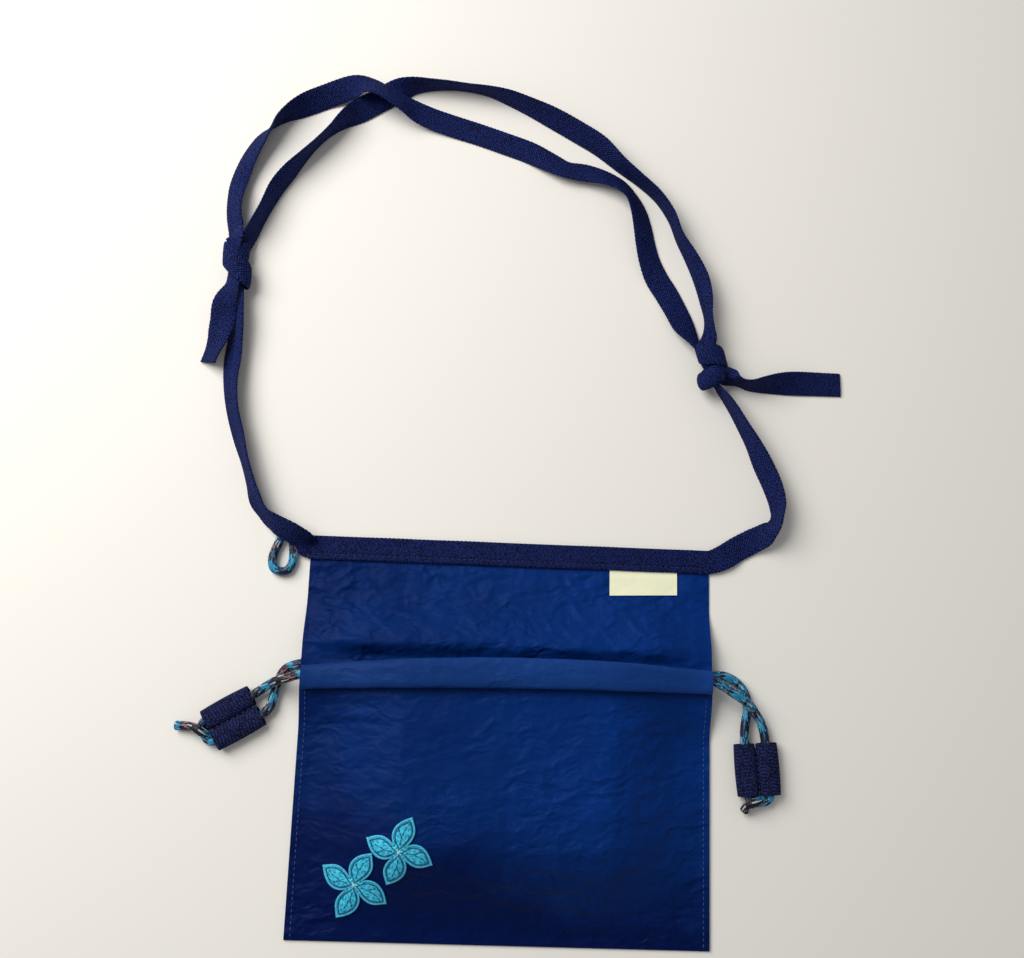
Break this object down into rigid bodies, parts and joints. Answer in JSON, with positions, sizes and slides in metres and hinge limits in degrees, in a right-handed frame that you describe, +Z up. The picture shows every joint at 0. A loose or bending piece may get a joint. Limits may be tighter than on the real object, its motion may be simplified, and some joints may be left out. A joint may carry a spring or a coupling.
{
  "type": "phone pouch",
  "caption": "Flat nylon drawstring pouch with a corded mouth, sliding webbing cord keepers, flower patches and a knotted woven shoulder tape.",
  "frame": {"origin": "under the middle of the pouch, on the surface that it lies on", "axes": "+X to the right of the pouch across its mouth, +Y towards the top tape and the strap, +Z up from the surface through the front panel"},
  "size_m": [0.2995, 0.3954, 0.0228],
  "materials": {
    "nylon_cloth": "crinkled plain-weave nylon with a soft sheen",
    "woven_tape": "matte herringbone-woven tape",
    "webbing": "matte ribbed webbing",
    "braided_cord": "braided, flecked with turquoise, white and black",
    "embroidery": "glossy embroidery thread",
    "label_satin": "woven satin"
  },
  "bodies": {
    "pouch": {"pouch_body": "nylon_cloth", "front_casing": "nylon_cloth", "rear_casing": "nylon_cloth", "top_tape": "woven_tape", "label": "label_satin", "flower_patch_lower": "embroidery", "flower_patch_upper": "embroidery", "front_drawcord": "braided_cord", "rear_drawcord": "braided_cord", "end_knot_left": "braided_cord", "end_knot_right": "braided_cord", "key_loop": "braided_cord", "strap_left_riser": "woven_tape", "strap_right_riser": "woven_tape", "strap_inner_run": "woven_tape", "strap_outer_run": "woven_tape", "strap_left_tail": "woven_tape", "strap_right_tail": "woven_tape", "strap_left_knot": "woven_tape", "strap_right_knot": "woven_tape"},
    "left_keeper": {"keeper_left": "webbing"},
    "right_keeper": {"keeper_right": "webbing"}
  },
  "joints": [
    {"name": "keeper_left_slide", "type": "slide", "parent": "pouch", "child": "left_keeper", "axis": [0.8572, 0.515, 0], "range_m": [0, 0.004]},
    {"name": "keeper_right_slide", "type": "slide", "parent": "pouch", "child": "right_keeper", "axis": [-0.0785, 0.9969, 0], "range_m": [0, 0.008]}
  ]
}
